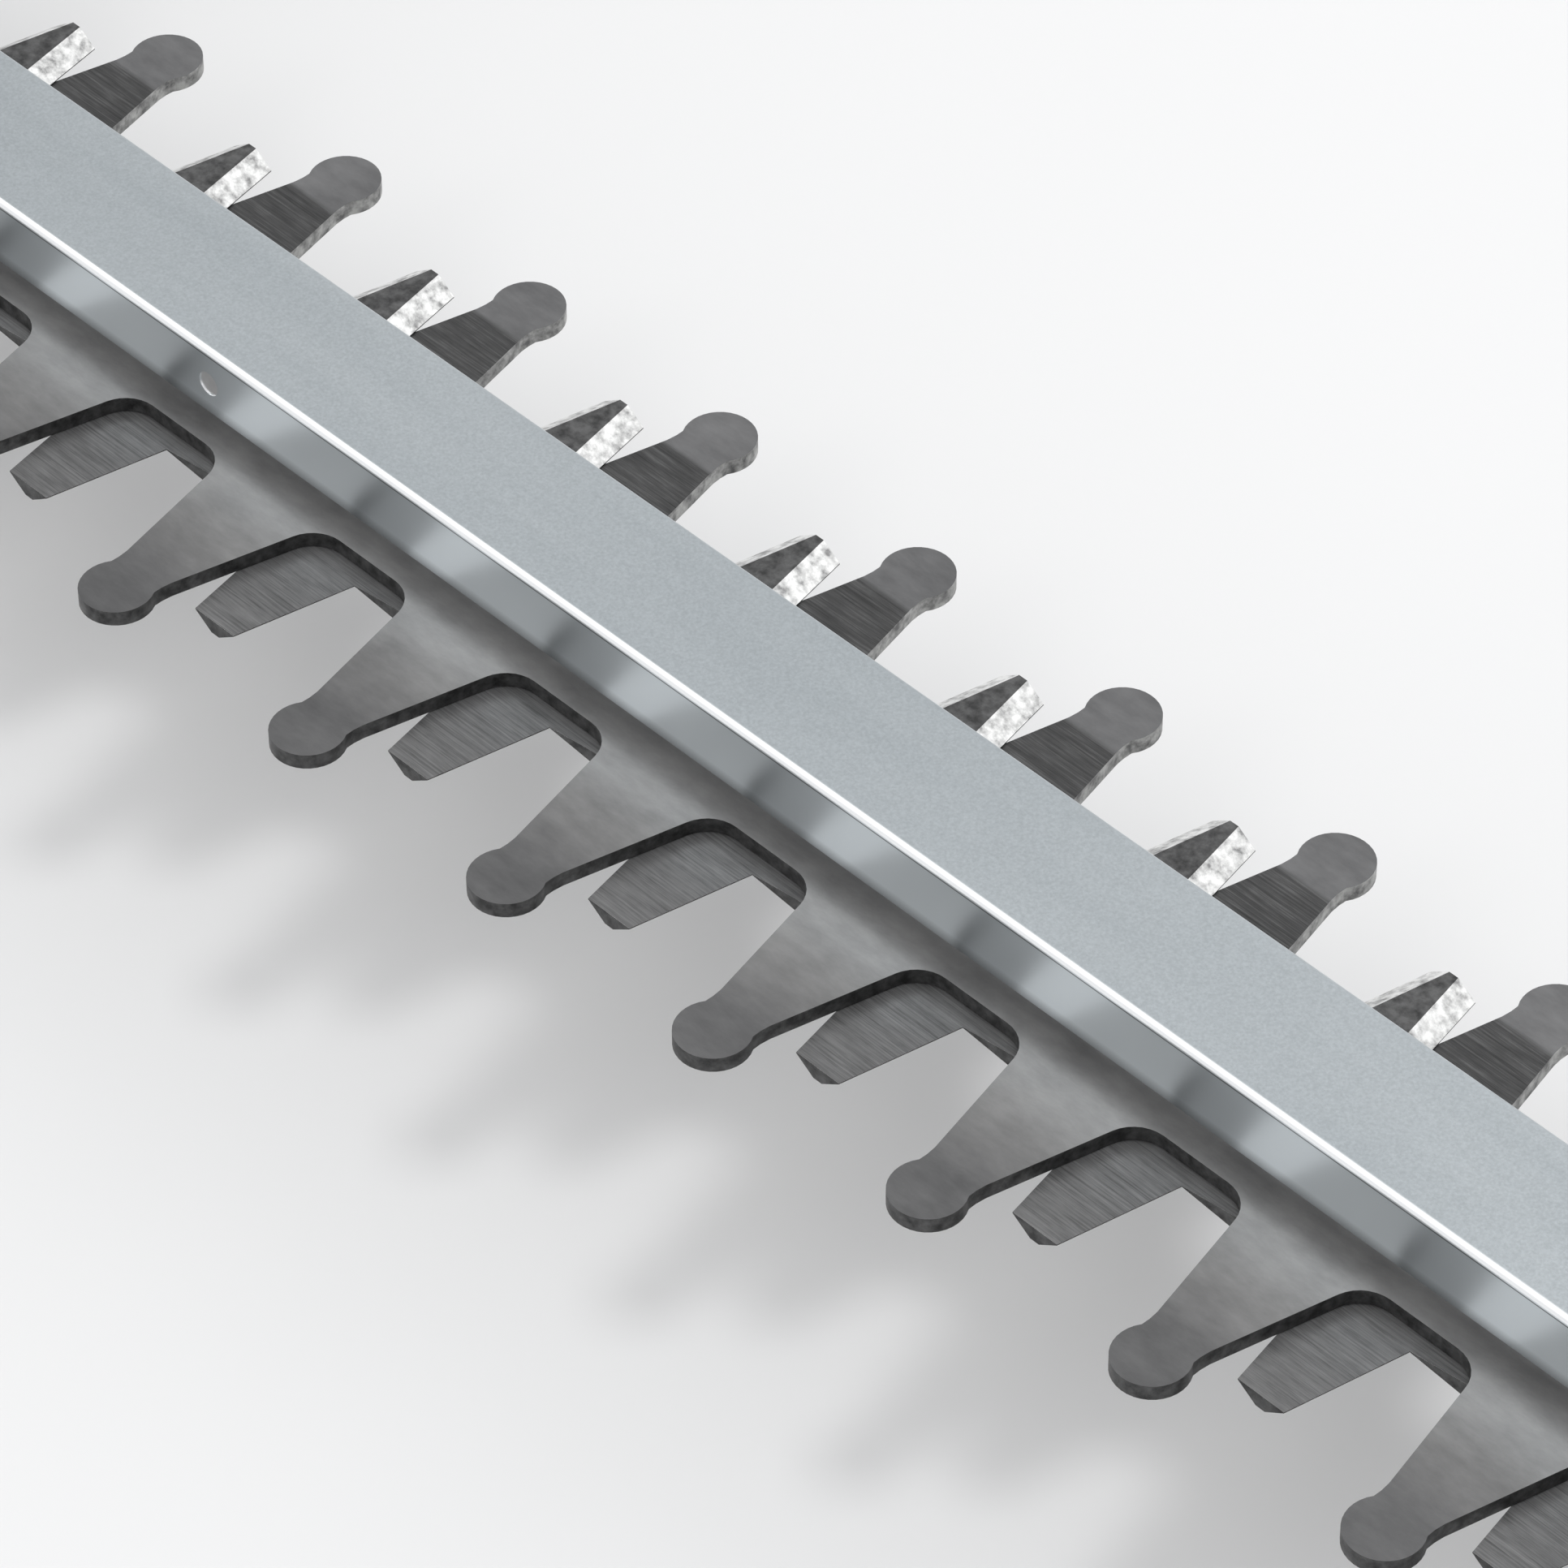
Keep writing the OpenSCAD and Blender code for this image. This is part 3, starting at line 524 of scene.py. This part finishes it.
profile = [(0.0, RING_SUNK)]
for k in range(RINGS):
    z = RING_START + k * RING_STEP
    profile += [(z, RING_LOW), (z + RING_FLANK, RING_HIGH),
                (z + RING_FLANK + RING_FLAT, RING_HIGH), (z + 2 * RING_FLANK + RING_FLAT, RING_LOW)]
profile.append((RINGS_LENGTH, RING_SUNK))
bail_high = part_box("bail_handle")[1]
for side, label in ((1, "left"), (-1, "right")):
    lathe("handle_ribs_" + label, (bail_high.x - TUBE, side * (bail_high.y - TUBE), RINGS_FROM),
          UPWARD, profile, "rubber", "soft_rubber")

# ribs on both sides of the battery
CASE_RIB = (58 * MM, 3.0 * MM, 1.1 * MM)
CASE_RIB_LOWEST = 16 * MM
CASE_RIB_STEP = 8.5 * MM

case_low, case_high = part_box("battery_case")
case_middle = (case_low.x + case_high.x) / 2
case_ribs = [((case_middle, case_high.y * side, CASE_RIB_LOWEST + k * CASE_RIB_STEP), ALONG, (0, side, 0))
             for side in (1, -1) for k in range(4)]
bars("battery_ribs", case_ribs, CASE_RIB, "dark", "dark_plastic", "battery")

# charge lights on its rear end, 4 in a row across the middle
CHARGE_LIGHT = (3.6 * MM, 2.4 * MM, 0.4 * MM)
LIGHT_STEP = 6 * MM
LIGHTS_UP = 28 * MM

lights = [((case_low.x, (k - 1.5) * LIGHT_STEP, LIGHTS_UP), ACROSS, (-1, 0, 0)) for k in range(4)]
bars("charge_lights", lights, CHARGE_LIGHT, "amber", "amber_plastic", "battery")

# upright ribs on the front of the hand guard, 7 in a row across the middle
GUARD_RIB = (72 * MM, 3.4 * MM, 1.3 * MM)
GUARD_RIB_STEP = 18 * MM
GUARD_RIBS_UP = 128 * MM

guard_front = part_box("hand_guard")[1].x
guard_ribs = [((guard_front, (k - 3) * GUARD_RIB_STEP, GUARD_RIBS_UP), UPWARD, ALONG) for k in range(7)]
bars("guard_ribs", guard_ribs, GUARD_RIB, "dark", "dark_plastic")

# ---------------------------------------------------------------- stage

FLOOR_SIZE = 60.0
WORLD_COLOUR = (0.985, 0.99, 1.0, 1)
WORLD_STRENGTH = 0.86

half = FLOOR_SIZE / 2
floor_mesh = bpy.data.meshes.new("floor")
floor_mesh.from_pydata([(-half, -half, 0), (half, -half, 0), (half, half, 0), (-half, half, 0)], [],
                       [(0, 1, 2, 3)])
floor_mesh.materials.append(floor_material())
floor = bpy.data.objects.new("floor", floor_mesh)
bpy.context.scene.collection.objects.link(floor)

world = bpy.data.worlds.new("studio")
bpy.context.scene.world = world
world.use_nodes = True
background = world.node_tree.nodes["Background"]
background.inputs["Color"].default_value = WORLD_COLOUR
background.inputs["Strength"].default_value = WORLD_STRENGTH


def area(name, at, target, size, power):
    """A soft lamp. at, target: metres; size: width and height, metres; power: watts."""
    light = bpy.data.lights.new(name, "AREA")
    light.shape = "RECTANGLE"
    light.size, light.size_y = size
    light.energy = power
    obj = bpy.data.objects.new(name, light)
    obj.location = at
    obj.rotation_euler = (Vector(target) - Vector(at)).to_track_quat("-Z", "Y").to_euler()
    bpy.context.scene.collection.objects.link(obj)


# an overhead lamp, a wide one behind, and a strip on the near side for the rail's bend
area("key", (0.38, 0.22, 1.45), (0.2, 0, 0.03), (0.32, 0.32), 4.4)
area("back", (0.5, 1.3, 0.9), (0.2, 0, 0.03), (1.4, 0.8), 5)
area("rim", (-0.62, -0.72, 1.18), (0.15, 0, 0.05), (1.3, 0.30), 6)

# ---------------------------------------------------------------- camera

# the photograph's view, solved from the teeth, the rail's edges and the blades' thickness
CAMERA_AT = (0.68472, -0.45964, 0.66573)
CAMERA_TURN = (46.724846, 0.218257, 46.320734)      # degrees about X, Y and Z
LENS = 188.918              # mm, on a 36 mm sensor
camera_data = bpy.data.cameras.new("camera")
camera_data.lens = LENS
camera_data.sensor_width = 36.0
camera = bpy.data.objects.new("camera", camera_data)
camera.location = CAMERA_AT
camera.rotation_euler = [math.radians(a) for a in CAMERA_TURN]
bpy.context.scene.collection.objects.link(camera)
bpy.context.scene.camera = camera
bpy.context.scene.view_settings.view_transform = "Standard"
